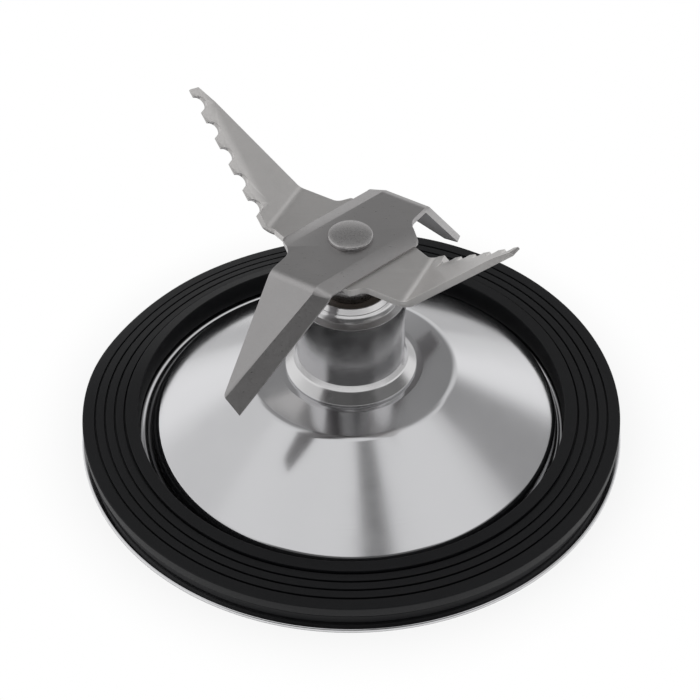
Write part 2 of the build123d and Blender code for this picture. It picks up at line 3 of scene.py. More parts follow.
import bmesh
import bpy
from bpy.props import FloatProperty, FloatVectorProperty, IntProperty, PointerProperty
from mathutils import Matrix, Vector


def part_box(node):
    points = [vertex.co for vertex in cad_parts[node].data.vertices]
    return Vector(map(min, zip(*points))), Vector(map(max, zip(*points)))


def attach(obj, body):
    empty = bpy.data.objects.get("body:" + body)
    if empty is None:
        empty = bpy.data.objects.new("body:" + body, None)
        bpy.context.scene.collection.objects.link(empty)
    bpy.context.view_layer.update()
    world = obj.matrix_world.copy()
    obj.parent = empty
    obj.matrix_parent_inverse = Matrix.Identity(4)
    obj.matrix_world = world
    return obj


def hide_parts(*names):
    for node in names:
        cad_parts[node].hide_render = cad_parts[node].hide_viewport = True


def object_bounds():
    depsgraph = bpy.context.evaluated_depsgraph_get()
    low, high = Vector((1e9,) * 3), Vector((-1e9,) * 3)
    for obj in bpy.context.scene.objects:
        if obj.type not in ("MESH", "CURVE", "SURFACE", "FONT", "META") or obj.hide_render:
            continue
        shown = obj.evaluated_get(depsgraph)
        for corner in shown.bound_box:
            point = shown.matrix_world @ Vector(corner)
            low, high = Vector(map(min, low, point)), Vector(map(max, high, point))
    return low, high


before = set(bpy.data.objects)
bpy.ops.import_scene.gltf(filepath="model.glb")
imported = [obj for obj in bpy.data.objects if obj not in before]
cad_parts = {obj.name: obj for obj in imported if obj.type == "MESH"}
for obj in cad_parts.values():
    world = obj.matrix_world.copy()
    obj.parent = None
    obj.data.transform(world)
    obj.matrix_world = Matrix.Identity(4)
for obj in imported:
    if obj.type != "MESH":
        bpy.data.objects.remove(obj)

bl_info = {
    "name": "Blender blade assembly looks",
    "version": (1, 0, 0),
    "blender": (4, 5, 0),
    "location": "View3D > Sidebar > Blade Assembly",
    "description": "Dresses a blender blade assembly: steel base, rubber ring, tower and blades",
    "category": "Object",
}

CAD_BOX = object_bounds()
MM = 0.001
SEAM_MERGE = 1e-7
CAD_MERGE = 1e-6
FLAT_ANGLE = radians(0.5)
CURVE_ANGLE = radians(10.5)
SHARP_ANGLE = radians(20)


def lengths(name, millimetres, description):
    """A length property, stored in metres."""
    return FloatProperty(name=name, description=description, default=millimetres * MM,
                         min=0.0, precision=5, unit="LENGTH", subtype="DISTANCE")


def angles(name, degrees, description):
    """An angle property, stored in radians."""
    return FloatProperty(name=name, description=description, default=radians(degrees),
                         subtype="ANGLE")


def shares(name, share, description):
    """A share between 0 and 1."""
    return FloatProperty(name=name, description=description, default=share, min=0.0, max=1.0,
                         subtype="FACTOR")


def powers(name, power, description):
    """An exponent that shapes how a form fades out."""
    return FloatProperty(name=name, description=description, default=power, min=0.0)


def colours(name, rgb, description):
    """A colour property."""
    return FloatVectorProperty(name=name, description=description, default=rgb, size=3,
                               min=0.0, max=1.0, subtype="COLOR")


class DishSettings(bpy.types.PropertyGroup):
    """Sizes of the pressed base that its box doesn't give."""

    sheet: lengths("Sheet", 0.7, "Thickness of the pressed sheet")
    seat_radius: lengths("Seat", 14.5, "Radius of the flat seat under the tower")
    seat_bend: lengths("Seat bend", 1.5, "Radius of the bend at the seat's edge")
    land_radius: lengths("Land", 20.9, "Radius where the cone begins")
    land_drop: lengths("Land drop", 0.75, "Depth of the land's edge below the seat")
    land_bend: lengths("Land bend", 4.0, "Radius of the bend at the land's edge")
    brow_radius: lengths("Brow", 42.0, "Radius where the cone turns down to the flange")
    brow_height: lengths("Brow height", 4.5, "Height of the brow above the flange's underside")
    brow_bend: lengths("Brow bend", 1.6, "Radius of the bend at the brow")
    brow_pull: lengths("Brow pull", 2.9, "How far the press drew the brow inward on one side")
    pull_bearing: angles("Pull bearing", 130, "Direction of the drawn-in side")
    pull_focus: powers("Pull focus", 1.8, "How narrowly the press drew the brow")
    foot_radius: lengths("Foot", 42.3, "Radius where the wall meets the flange")
    foot_bend: lengths("Foot bend", 0.4, "Radius of the bends at the foot and beside the bead")
    bead_radius: lengths("Bead", 43.5, "Radius of the bead that centres the ring")
    bead_reach: lengths("Bead reach", 0.7, "Half the width of the bead")
    bead_height: lengths("Bead height", 0.35, "Height of the bead above the flange")
    bead_bend: lengths("Bead bend", 0.9, "Radius of the bead's crest")
    edge_round: lengths("Edge rounding", 0.4, "Rounding of the flange's upper edge")
    hole: lengths("Hole", 10.1, "Radius of the hole for the tower")
    steps: IntProperty(name="Steps", description="Faces round the base", default=224, min=32)


class RingSettings(bpy.types.PropertyGroup):
    """Sizes of the rubber ring and of its sagging side."""

    inner_radius: lengths("Inner radius", 43.7, "Radius of the ring's inner wall")
    outer_band: lengths("Outer band", 2.8, "Width of the outermost band on top")
    rim_width: lengths("Rim width", 2.5, "Width of the raised innermost band")
    rim_rise: lengths("Rim rise", 0.4, "Height of the innermost band above the others")
    groove_width: lengths("Groove width", 0.4, "Width of the grooves on top")
    groove_depth: lengths("Groove depth", 0.6, "Depth of the grooves on top")
    grooves: IntProperty(name="Grooves", description="Grooves on top", default=4, min=1)
    lip_height: lengths("Lower lip", 2.2, "Height of the lip under the side groove")
    lip_set_back: lengths("Lip set back", 0.9, "How far the lower lip stands back")
    side_groove: lengths("Side groove", 1.0, "Height of the groove round the side")
    side_depth: lengths("Side depth", 1.6, "Depth of the groove round the side")
    side_round: lengths("Side rounding", 0.15, "Rounding at the back of the side groove")
    inner_chamfer: lengths("Inner chamfer", 0.8, "Chamfer under the inner wall")
    outer_chamfer: lengths("Outer chamfer", 0.5, "Chamfer under the lower lip")
    corner_round: lengths("Corner rounding", 0.25, "Rounding of the ring's corners")
    groove_round: lengths("Groove rounding", 0.1, "Rounding of the grooves' edges")
    sag: shares("Sag", 0.52, "How far the back of the ring is pressed flat")
    sag_bearing: angles("Sag bearing", 128, "Direction of the sagging side")
    sag_spread: angles("Sag spread", 38, "Half the sagging arc")
    sag_edge: powers("Sag edge", 4.0, "How suddenly the sagging arc ends")
    sag_lean: powers("Sag lean", 0.8, "How late the sag sets in from the inner wall outward")
    steps: IntProperty(name="Steps", description="Faces round the ring", default=256, min=32)


class TowerSettings(bpy.types.PropertyGroup):
    """Sizes of the bearing tower that its box doesn't give."""

    wall_radius: lengths("Wall", 10.8, "Radius of the tower's wall")
    foot_underside: lengths("Foot underside", 17.0, "Height of the foot's underside")
    foot_recess: lengths("Foot recess", 12.5, "Radius of the recess for the washer under the foot")
    foot_gap: lengths("Foot gap", 0.03, "Gap between the foot's skirt and the base")
    foot_side: lengths("Foot side", 17.3, "Height of the foot's upright side")
    foot_round: lengths("Foot rounding", 0.2, "Rounding of the foot's upper edge")
    flare_radius: lengths("Flare", 11.4, "Radius where the flare grows shallower")
    flare_height: lengths("Flare height", 19.1, "Height where the flare grows shallower")
    flare_round: lengths("Flare rounding", 1.5, "Rounding where the flare grows shallower")
    foot_top: lengths("Foot top", 20.4, "Height where the flare leaves the wall")
    wall_drop: lengths("Wall drop", 2.75, "Depth of the wall's top below the lip")
    wall_round: lengths("Wall rounding", 0.06, "Rounding of the wall's upper edge")
    collar_foot: lengths("Collar foot", 9.4, "Radius where the collar meets the wall's top")
    collar_drop: lengths("Collar drop", 2.45, "Depth of the collar's foot below the lip")
    collar_round: lengths("Collar rounding", 0.5, "Rounding at the collar's foot")
    waist_radius: lengths("Waist", 8.75, "Radius where the collar grows steeper")
    waist_drop: lengths("Waist drop", 1.9, "Depth below the lip where the collar grows steeper")
    waist_round: lengths("Waist rounding", 1.5, "Rounding where the collar grows steeper")
    line_radius: lengths("Line", 8.32, "Radius of the turned line between lip and collar")
    line_drop: lengths("Line drop", 1.15, "Depth of the turned line below the lip")
    line_width: lengths("Line width", 0.12, "Width of the turned line")
    line_round: lengths("Line rounding", 0.06, "Rounding of the turned line's outer edge")
    line_corner: lengths("Line corner", 0.04, "Rounding of the turned line's inner corner")
    lip_radius: lengths("Lip", 7.8, "Outer radius of the lip's crest")
    lip_round: lengths("Lip rounding", 0.08, "Rounding of the lip's crest")
    mouth_radius: lengths("Mouth", 7.5, "Radius of the mouth")
    mouth_round: lengths("Mouth rounding", 0.15, "Rounding of the mouth's edge")
    mouth_lip: lengths("Mouth lip", 1.0, "Thickness of the lip round the mouth")
    bore_radius: lengths("Bore", 8.02, "Radius of the bore")
    stub_radius: lengths("Stub", 10.0, "Radius of the threaded stub")
    stub_round: lengths("Stub rounding", 0.4, "Rounding of the stub's end")
    ease: lengths("Ease", 0.15, "Rounding of the other edges")
    steps: IntProperty(name="Steps", description="Faces round the tower", default=160, min=32)


class EdgeSettings(bpy.types.PropertyGroup):
    """Eased edges of the pieces that are copied from their solids."""

    blade: lengths("Blade", 0.06, "Width of the blades' eased edges")
    shaft: lengths("Shaft", 0.1, "Width of the shaft's eased edges")
    nut: lengths("Nut", 0.2, "Width of the clamp nut's eased edges")
    washer: lengths("Washer", 0.08, "Width of the lock washer's eased edges")
    coupling: lengths("Coupling", 0.25, "Width of the drive coupling's eased edges")


class GrindSettings(bpy.types.PropertyGroup):
    """Grinding of the blades and the shaft's head."""

    upper_grain: angles("Upper grain", 42, "Direction of the upper blade's grinding marks")
    lower_grain: angles("Lower grain", 131, "Direction of the lower blade's grinding marks")
    upper_dull: shares("Upper dullness", 0.22, "Least roughness of the upper blade")
    lower_dull: shares("Lower dullness", 0.25, "Least roughness of the lower blade")
    shaft_dull: shares("Shaft dullness", 0.2, "Least roughness of the shaft's head")


class FinishSettings(bpy.types.PropertyGroup):
    """Colours of the finishes."""

    sheet_steel: colours("Sheet steel", (0.685, 0.685, 0.70), "Polished stainless pressing")
    turned_steel: colours("Turned steel", (0.65, 0.645, 0.65), "Turned and polished stainless")
    upper_blade: colours("Upper blade", (0.45, 0.44, 0.44), "Fine ground stainless")
    lower_blade: colours("Lower blade", (0.675, 0.66, 0.65), "Matte ground stainless")
    plated_steel: colours("Plated steel", (0.62, 0.62, 0.60), "Bright zinc plate")
    bearing_steel: colours("Bearing steel", (0.68, 0.68, 0.69), "Ground bearing steel")
    spring_steel: colours("Spring steel", (0.07, 0.07, 0.075), "Phosphated spring steel")
    rubber: colours("Rubber", (0.005, 0.0053, 0.0066), "Matte moulded rubber")
    # Brown is the seal's own colour; it is made lighter than the rubber is, as painted light in
    # the shaded mouth of the tower
    seal_rubber: colours("Seal rubber", (0.16, 0.13, 0.11), "Satin brown seal rubber")
    fibre: colours("Fibre", (0.05, 0.048, 0.045), "Sealing fibre")
    nylon: colours("Nylon", (0.03, 0.03, 0.032), "Moulded nylon")
    brass: colours("Brass", (0.71, 0.54, 0.25), "Turned brass")


class StageSettings(bpy.types.PropertyGroup):
    """Camera, floor and studio light."""

    distance: FloatProperty(name="Distance", description="Camera distance", default=0.3679,
                            unit="LENGTH", subtype="DISTANCE")
    elevation: angles("Elevation", 42.79, "Camera angle above the horizon")
    roll: angles("Roll", -0.28, "Camera roll")
    aim: FloatVectorProperty(name="Aim", description="Point that the camera looks at",
                             default=(-0.00019, 0.0, 0.02008), subtype="TRANSLATION")
    lens: FloatProperty(name="Lens", description="Focal length in mm on a 36 mm sensor",
                        default=94.42, unit="CAMERA")
    floor_size: FloatProperty(name="Floor size", description="Width of the floor", default=6.0,
                              unit="LENGTH", subtype="DISTANCE")
    floor_colour: colours("Floor", (0.86, 0.86, 0.86), "Pale floor")
    floor_gap: lengths("Floor gap", 0.05, "Gap between the object and the floor")
    box_place: FloatVectorProperty(name="Softbox place", description="Middle of the softbox",
                                   default=(0.0, -0.08, 0.52), subtype="TRANSLATION")
    box_size: FloatVectorProperty(name="Softbox size", description="Sides of the softbox",
                                  default=(0.9, 0.32), size=2, unit="LENGTH")
    box_level: shares("Softbox level", 0.10, "Brightness of the softbox, where 1 is white")


def settings(name):
    """One of the scene's groups of settings."""
    return getattr(bpy.context.scene, "blade_" + name)


# Mesh tools

def finished(name, bm, body, node, material):
    """Makes a piece from a bmesh: it rides on a body and stands for a CAD node."""
    mesh = bpy.data.meshes.new(name)
    bm.to_mesh(mesh)
    bm.free()
    mesh.polygons.foreach_set("use_smooth", [True] * len(mesh.polygons))
    mesh.materials.append(material)
    piece = bpy.data.objects.new(name, mesh)
    bpy.context.scene.collection.objects.link(piece)
    weighted = piece.modifiers.new("Flat faces", "WEIGHTED_NORMAL")
    weighted.weight = 100
    weighted.keep_sharp = True
    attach(piece, body)
    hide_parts(node)


def turned(corners, steps, segments=6):
    """Closed ring turned about Z from (radius, height, rounding) corners."""
    bm = bmesh.new()
    verts = [bm.verts.new((r, 0.0, z)) for r, z, _ in corners]
    bm.faces.new(verts)
    for vert, (_, _, rounding) in zip(verts, corners):
        if rounding > 0:
            one, two = (edge.other_vert(vert).co - vert.co for edge in vert.link_edges)
            reach = rounding / tan(one.angle(two) / 2)
            bmesh.ops.bevel(bm, geom=[vert], offset=reach, offset_type="OFFSET",
                            segments=segments, profile=0.5, affect="VERTICES", material=-1)
    bmesh.ops.delete(bm, geom=bm.faces[:], context="FACES_ONLY")
    bmesh.ops.spin(bm, geom=bm.verts[:] + bm.edges[:], axis=(0, 0, 1), cent=(0, 0, 0),
                   angle=2 * pi, steps=steps, use_merge=True)
    bmesh.ops.remove_doubles(bm, verts=bm.verts[:], dist=SEAM_MERGE)
    bmesh.ops.recalc_face_normals(bm, faces=bm.faces[:])
    return bm


def eased_copy(node, width):
    """Copy of a CAD node with its sharp edges eased by a narrow bevel."""
    bm = bmesh.new()
    bm.from_mesh(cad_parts[node].data)
    bmesh.ops.remove_doubles(bm, verts=bm.verts[:], dist=CAD_MERGE)
    bmesh.ops.dissolve_limit(bm, angle_limit=FLAT_ANGLE, verts=bm.verts[:], edges=bm.edges[:])
    turns = {e: e.calc_face_angle() for e in bm.edges if e.is_manifold}
    for edge, turn in turns.items():
        edge.smooth = not CURVE_ANGLE < turn <= SHARP_ANGLE
    sharp = [edge for edge, turn in turns.items() if turn > SHARP_ANGLE]
    bmesh.ops.bevel(bm, geom=sharp, offset=width, offset_type="OFFSET", segments=2,
                    profile=0.5, affect="EDGES", material=-1, clamp_overlap=False)
    bmesh.ops.triangulate(bm, faces=[f for f in bm.faces if len(f.verts) > 4])
    return bm


# Material tools

class Graph:
    """The node tree of a material or of the world."""

    def __init__(self, name, kind="materials", shader="Principled BSDF", place="Object"):
        self.owner = getattr(bpy.data, kind).new(name)
        self.owner.use_nodes = True
        self.tree = self.owner.node_tree
        self.shader = self.tree.nodes[shader]
        self.place = self.add("ShaderNodeTexCoord").outputs[place]

    def add(self, kind, options=None, **inputs):
        """Adds a node; inputs are values or other nodes' sockets."""
        made = self.tree.nodes.new(kind)
        for key, value in (options or {}).items():
            setattr(made, key, value)
        for key, value in inputs.items():
            self.feed(made.inputs[key.replace("_", " ")], value)
        return made

    def feed(self, socket, value):
        """Sets a socket to a value, or links it to another socket."""
        if isinstance(value, bpy.types.NodeSocket):
            self.tree.links.new(value, socket)
        else:
            socket.default_value = value

    def math(self, operation, first, second=0.0, third=0.0):
        """A Math node's result."""
        made = self.add("ShaderNodeMath", {"operation": operation})
        for socket, value in zip(made.inputs, (first, second, third)):
            self.feed(socket, value)
        return made.outputs[0]

    def scaled(self, value, low, high, new_low, new_high):
        """A value mapped from one range to another and held there."""
        made = self.add("ShaderNodeMapRange", {"interpolation_type": "SMOOTHSTEP"},
                        From_Min=low, From_Max=high, To_Min=new_low, To_Max=new_high)
        self.feed(made.inputs["Value"], value)
        return made.outputs["Result"]

    def sector(self, *limits):
        """A mask, full past every limit: a value, where the mask begins and where it is full."""
        mask = 1.0
        for value, begins, full in limits:
            ends = (0.0, 1.0) if begins < full else (1.0, 0.0)
            edge = self.scaled(value, min(begins, full), max(begins, full), *ends)
            mask = self.math("MULTIPLY", mask, edge)
        return mask

    def blend(self, amount, first, second):
        """A value between two others."""
        made = self.add("ShaderNodeMix")
        for key, value in (("Factor", amount), ("A", first), ("B", second)):
            self.feed(made.inputs[key], value)
        return made.outputs["Result"]

    def noise(self, scale, detail=3.0, roughness=0.55, where=None):
        """Noise over the object's own coordinates."""
        made = self.add("ShaderNodeTexNoise", Scale=scale, Detail=detail, Roughness=roughness)
        self.feed(made.inputs["Vector"], where or self.place)
        return made.outputs["Fac"]

    def lines(self, distance, scale, detail=4.0):
        """Noise that changes along one distance only, as tool marks do."""
        made = self.add("ShaderNodeTexNoise", {"noise_dimensions": "1D"}, Scale=scale,
                        Detail=detail, Roughness=0.7)
        self.feed(made.inputs["W"], distance)
        return made.outputs["Fac"]

    def stretched(self, turn, along, across):
        """Coordinates turned about Z and squeezed, for a grain."""
        made = self.add("ShaderNodeMapping", Rotation=(0, 0, -turn),
                        Scale=(along, across, across))
        self.feed(made.inputs["Vector"], self.place)
        return made.outputs["Vector"]

    def turning(self):
        """Distance from the axis plus height, which tool marks on turned work follow."""
        axes = self.add("ShaderNodeSeparateXYZ", Vector=self.place)
        across = self.math("MULTIPLY", axes.outputs["X"], axes.outputs["X"])
        across = self.math("MULTIPLY_ADD", axes.outputs["Y"], axes.outputs["Y"], across)
        return self.math("ADD", self.math("SQRT", across), axes.outputs["Z"])

    def tint(self, amount, colour, low, high):
        """The colour, darker and lighter by an amount between 0 and 1."""
        dark = (*[c * low for c in colour], 1.0)
        pale = (*[min(1.0, c * high) for c in colour], 1.0)
        made = self.add("ShaderNodeMix", {"data_type": "RGBA"})
        self.feed(made.inputs["Factor"], amount)
        # A Mix node's colour sockets come after those for numbers and vectors
        made.inputs[6].default_value = dark
        made.inputs[7].default_value = pale
        return made.outputs[2]

    def finish(self, colour, roughness, metallic, height=None, depth=0.0, strength=1.0, **plain):
        """Sets the surface shader, with a bump of the depth given, and returns the material."""
        self.feed(self.shader.inputs["Base Color"], colour)
        self.feed(self.shader.inputs["Roughness"], roughness)
        self.shader.inputs["Metallic"].default_value = metallic
        for key, value in plain.items():
            self.feed(self.shader.inputs[key.replace("_", " ")], value)
        if height is not None:
            bump = self.add("ShaderNodeBump", Strength=strength, Distance=depth, Height=height)
            self.tree.links.new(bump.outputs["Normal"], self.shader.inputs["Normal"])
        return self.owner


def spun_steel():
    """Polished pressing with faint rings of polish and a few smears."""
    graph = Graph("spun_steel")
    rings = graph.lines(graph.turning(), 9000)
    smear = graph.noise(60, detail=4)
    wave = graph.noise(28, detail=2)
    rough = graph.math("MULTIPLY_ADD", rings, 0.10, graph.scaled(smear, 0.3, 0.7, 0.07, 0.13))
    height = graph.math("MULTIPLY_ADD", rings, 0.015, wave)
    colour = graph.tint(smear, settings("finish").sheet_steel, 0.94, 1.05)
    return graph.finish(colour, rough, 1.0, height=height, depth=0.12 * MM, strength=0.5)


def turned_steel():
    """Turned and polished bar with fine tool marks round it."""
    graph = Graph("turned_steel")
    marks = graph.lines(graph.turning(), 14000)
    smear = graph.noise(150)
    rough = graph.math("MULTIPLY_ADD", marks, 0.12, graph.scaled(smear, 0.3, 0.7, 0.09, 0.18))
    colour = graph.tint(smear, settings("finish").turned_steel, 0.93, 1.06)
    return graph.finish(colour, rough, 1.0, height=marks, depth=0.01 * MM, strength=0.35)


def ground_steel(name, base, turn, dull):
    """Blade sheet ground along its length, with fine specks."""
    graph = Graph(name)
    along = graph.stretched(turn, along=250, across=5200)
    grain = graph.noise(1.0, detail=5, roughness=0.7, where=along)
    cloud = graph.noise(110, detail=4)
    specks = graph.noise(2600, detail=2)
    shade = graph.math("MULTIPLY_ADD", grain, 0.5, graph.math("MULTIPLY", cloud, 0.5))
    speckled = graph.scaled(specks, 0.35, 0.7, dull, dull + 0.09)
    rough = graph.math("MULTIPLY_ADD", grain, 0.14, speckled)
    colour = graph.tint(shade, base, 0.86, 1.12)
    return graph.finish(colour, rough, 1.0, height=grain, depth=0.02 * MM, strength=0.4)


def plated_steel():
    """Zinc plated small parts with a faint mottled bloom."""
    graph = Graph("plated_steel")
    bloom = graph.noise(420, detail=5)
    colour = graph.tint(bloom, settings("finish").plated_steel, 0.82, 1.08)
    rough = graph.scaled(bloom, 0.3, 0.7, 0.22, 0.38)
    return graph.finish(colour, rough, 1.0, height=bloom, depth=0.02 * MM, strength=0.3)


def bearing_steel():
    """Ground rings and balls."""
    graph = Graph("bearing_steel")
    marks = graph.lines(graph.turning(), 21000)
    colour = graph.tint(marks, settings("finish").bearing_steel, 0.95, 1.04)
    rough = graph.scaled(marks, 0.3, 0.7, 0.07, 0.15)
    return graph.finish(colour, rough, 1.0, height=marks, depth=0.004 * MM, strength=0.3)


def spring_steel():
    """Dark phosphated clips."""
    graph = Graph("spring_steel")
    grain = graph.noise(1900, detail=4)
    colour = graph.tint(grain, settings("finish").spring_steel, 0.7, 1.4)
    rough = graph.scaled(grain, 0.3, 0.7, 0.45, 0.65)
    return graph.finish(colour, rough, 0.6, height=grain, depth=0.02 * MM, strength=0.4)


def moulded_rubber():
    """Matte black rubber with a fine moulded grain and a little dust."""
    graph = Graph("moulded_rubber")
    grain = graph.noise(5200)
    cloud = graph.noise(45)
    dust = graph.scaled(graph.noise(900, detail=2), 0.66, 0.78, 0.0, 1.0)
    amount = graph.math("MULTIPLY_ADD", dust, 0.25, graph.math("MULTIPLY", cloud, 0.75))
    colour = graph.tint(amount, settings("finish").rubber, 0.75, 1.5)
    rough = graph.scaled(grain, 0.3, 0.7, 0.44, 0.58)
    return graph.finish(colour, rough, 0.0, height=grain, depth=0.03 * MM, strength=0.5,
                        Specular_IOR_Level=0.27)


def painted_light_seal():
    """Seal rubber, smoother than the ring's; its brown colour is lightened as painted light in the
    shaded mouth.
    """
    graph = Graph("painted_light_seal")
    grain = graph.noise(3800)
    # Brown seal colour, lightened as painted light for the shade in the tower's mouth
    colour = graph.tint(grain, settings("finish").seal_rubber, 0.8, 1.3)
    rough = graph.scaled(grain, 0.3, 0.7, 0.34, 0.46)
    return graph.finish(colour, rough, 0.0, height=grain, depth=0.02 * MM, strength=0.3)


def sealing_fibre():
    """Dark pressed fibre."""
    graph = Graph("sealing_fibre")
    along = graph.stretched(0.6, along=900, across=6000)
    fibres = graph.noise(1.0, detail=4, roughness=0.6, where=along)
    colour = graph.tint(fibres, settings("finish").fibre, 0.6, 1.5)
    rough = graph.scaled(fibres, 0.3, 0.7, 0.6, 0.8)
    return graph.finish(colour, rough, 0.0, height=fibres, depth=0.04 * MM, strength=0.5)


def moulded_nylon():
    """Glass-filled nylon with a matte moulded skin."""
    graph = Graph("moulded_nylon")
    flow = graph.noise(300, detail=4)
    grain = graph.noise(4200, detail=2)
    colour = graph.tint(flow, settings("finish").nylon, 0.75, 1.35)
    rough = graph.scaled(grain, 0.3, 0.7, 0.42, 0.58)
    return graph.finish(colour, rough, 0.0, height=grain, depth=0.03 * MM, strength=0.4)


def turned_brass():
    """Turned brass with fine tool marks."""
    graph = Graph("turned_brass")
    marks = graph.lines(graph.turning(), 12000)
    colour = graph.tint(marks, settings("finish").brass, 0.85, 1.1)
    rough = graph.scaled(marks, 0.3, 0.7, 0.2, 0.36)
    return graph.finish(colour, rough, 1.0, height=marks, depth=0.01 * MM, strength=0.4)


def dressed(material, *nodes):
    """Gives CAD nodes that keep their own solids a finish."""
    for name in nodes:
        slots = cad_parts[name].data.materials
        slots.clear()
        slots.append(material)


# Pieces

class BLADE_OT_dish(bpy.types.Operator):
    """Pressed base: seat, land, cone, brow and beaded flange from one sheet"""

    bl_idname = "blade.dish"
    bl_label = "Pressed Base"

    def execute(self, context):
        sizes = settings("dish")
        low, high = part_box("base_dish")
        top = self.top(sizes, low.z, high.z, high.x)
        bm = turned(top + self.underside(top, sizes.sheet), sizes.steps, segments=10)
        self.draw_in(bm, sizes)
        finished("pressed_base", bm, "base", "base_dish", spun_steel())
        return {"FINISHED"}

    def top(self, sizes, base, seat, flange):
        """Corners of the upper face, from the hole to the flange's edge."""
        floor = base + sizes.sheet
        return [
            (sizes.hole, seat, 0.0),
            (sizes.seat_radius, seat, sizes.seat_bend),
            (sizes.land_radius, seat - sizes.land_drop, sizes.land_bend),
            (sizes.brow_radius, base + sizes.brow_height, sizes.brow_bend),
            (sizes.foot_radius, floor, sizes.foot_bend),
            (sizes.bead_radius - sizes.bead_reach, floor, sizes.foot_bend),
            (sizes.bead_radius, floor + sizes.bead_height, sizes.bead_bend),
            (sizes.bead_radius + sizes.bead_reach, floor, sizes.foot_bend),
            (flange, floor, sizes.edge_round),
        ]

    def underside(self, top, sheet):
        """Corners of the lower face, a sheet's thickness below, back to the hole."""
        places = [Vector((r, z)) for r, z, _ in top]
        sides = [Vector((b.y - a.y, a.x - b.x)).normalized() for a, b in zip(places, places[1:])]
        before, after = sides[:1] + sides, sides + sides[-1:]
        corners = []
        for place, (_, _, bend), one, two in zip(places, top, before, after):
            moved = place + (one + two) * (sheet / (1 + one.dot(two)))
            hollow = one.x * two.y - one.y * two.x > 0
            corners.append((moved.x, moved.y, max(0.0, bend + (sheet if hollow else -sheet))))
        return corners[::-1]

    def draw_in(self, bm, sizes):
        """Draws the brow inward on one side, as the press left it."""
        for vert in bm.verts:
            radius = vert.co.xy.length
            if radius < sizes.brow_radius:
                along = (radius - sizes.land_radius) / (sizes.brow_radius - sizes.land_radius)
            else:
                along = (sizes.foot_radius - radius) / (sizes.foot_radius - sizes.brow_radius)
            turn = atan2(vert.co.y, vert.co.x) - sizes.pull_bearing
            near = (0.5 + 0.5 * cos(turn)) ** sizes.pull_focus
            pull = sizes.brow_pull * near * max(0.0, along)
            vert.co.xy *= 1 - pull / radius


class BLADE_OT_ring(bpy.types.Operator):
    """Rubber sealing ring with a grooved top, pressed flat at the back"""

    bl_idname = "blade.ring"
    bl_label = "Sealing Ring"

    def execute(self, context):
        sizes = settings("ring")
        low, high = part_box("sealing_gasket")
        bm = turned(self.outline(sizes, low, high), sizes.steps, segments=3)
        self.press(bm, sizes, low.z, high.x)
        finished("sealing_ring", bm, "base", "sealing_gasket", moulded_rubber())
        return {"FINISHED"}

    def outline(self, sizes, low, high):
        """Corners of the ring's section, with its grooves."""
        inner, outer = sizes.inner_radius, high.x
        top = high.z - sizes.rim_rise
        lip = outer - sizes.lip_set_back
        shelf = low.z + sizes.lip_height
        ease = sizes.corner_round
        corners = [
            (inner + sizes.inner_chamfer, low.z, ease),
            (lip - sizes.outer_chamfer, low.z, ease),
            (lip, low.z + sizes.outer_chamfer, ease),
            (lip, shelf, ease),
            (lip - sizes.side_depth, shelf, sizes.side_round),
            (lip - sizes.side_depth, shelf + sizes.side_groove, sizes.side_round),
            (outer, shelf + sizes.side_groove, ease),
            (outer, top, ease),
        ]
        first = outer - sizes.outer_band
        pitch = (first - inner - sizes.rim_width) / (sizes.grooves - 1)
        soft = sizes.groove_round
        for number in range(sizes.grooves):
            edge = first - number * pitch
            rise = sizes.rim_rise if number == sizes.grooves - 1 else 0.0
            corners += [
                (edge + sizes.groove_width, top, soft),
                (edge + sizes.groove_width, top - sizes.groove_depth, soft),
                (edge, top - sizes.groove_depth, soft),
                (edge, top + rise, soft),
            ]
        corners += [
            (inner, high.z, ease),
            (inner, low.z + sizes.inner_chamfer, ease),
        ]
        return corners

    def press(self, bm, sizes, base, outer):
        """Presses the ring's outer part flat over the sagging arc."""
        width = outer - sizes.inner_radius
        for vert in bm.verts:
            radius = vert.co.xy.length
            turn = atan2(vert.co.y, vert.co.x) - sizes.sag_bearing
            turn = (turn + pi) % (2 * pi) - pi
            along = exp(-(abs(turn / sizes.sag_spread) ** sizes.sag_edge))
            across = min(1.0, max(0.0, (radius - sizes.inner_radius) / width)) ** sizes.sag_lean
            vert.co.z = base + (vert.co.z - base) * (1 - sizes.sag * along * across)


class BLADE_OT_tower(bpy.types.Operator):
    """Turned bearing tower with its flared foot and stepped crown"""

    bl_idname = "blade.tower"
    bl_label = "Bearing Tower"

    def execute(self, context):
        sizes = settings("tower")
        low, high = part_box("bearing_housing")
        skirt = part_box("base_dish")[1].z + sizes.foot_gap
        foot = self.foot(sizes, low.z, skirt, high.x)
        bm = turned(foot + self.crown(sizes, high.z), sizes.steps)
        finished("bearing_tower", bm, "base", "bearing_housing", turned_steel())
        dressed(sealing_fibre(), "housing_washer")
        return {"FINISHED"}

    def foot(self, sizes, base, skirt, reach):
        """Corners from the stub's lower end, under the foot and up its flare."""
        return [
            (sizes.bore_radius, base, sizes.ease),
            (sizes.stub_radius, base, sizes.stub_round),
            (sizes.stub_radius, sizes.foot_underside, 0.0),
            (sizes.foot_recess, sizes.foot_underside, 0.0),
            (sizes.foot_recess, skirt, 0.0),
            (reach, skirt, sizes.ease),
            (reach, sizes.foot_side, sizes.foot_round),
            (sizes.flare_radius, sizes.flare_height, sizes.flare_round),
            (sizes.wall_radius, sizes.foot_top, sizes.ease),
        ]

    def crown(self, sizes, top):
        """Corners from the wall's top, over collar and lip into the mouth."""
        line = top - sizes.line_drop
        shoulder = top - sizes.mouth_lip
        return [
            (sizes.wall_radius, top - sizes.wall_drop, sizes.wall_round),
            (sizes.collar_foot, top - sizes.collar_drop, sizes.collar_round),
            (sizes.waist_radius, top - sizes.waist_drop, sizes.waist_round),
            (sizes.line_radius + sizes.line_width, line, sizes.line_round),
            (sizes.line_radius, line, sizes.line_corner),
            (sizes.lip_radius, top, sizes.lip_round),
            (sizes.mouth_radius, top, sizes.mouth_round),
            (sizes.mouth_radius, shoulder, sizes.ease),
            (sizes.bore_radius, shoulder, 0.0),
        ]


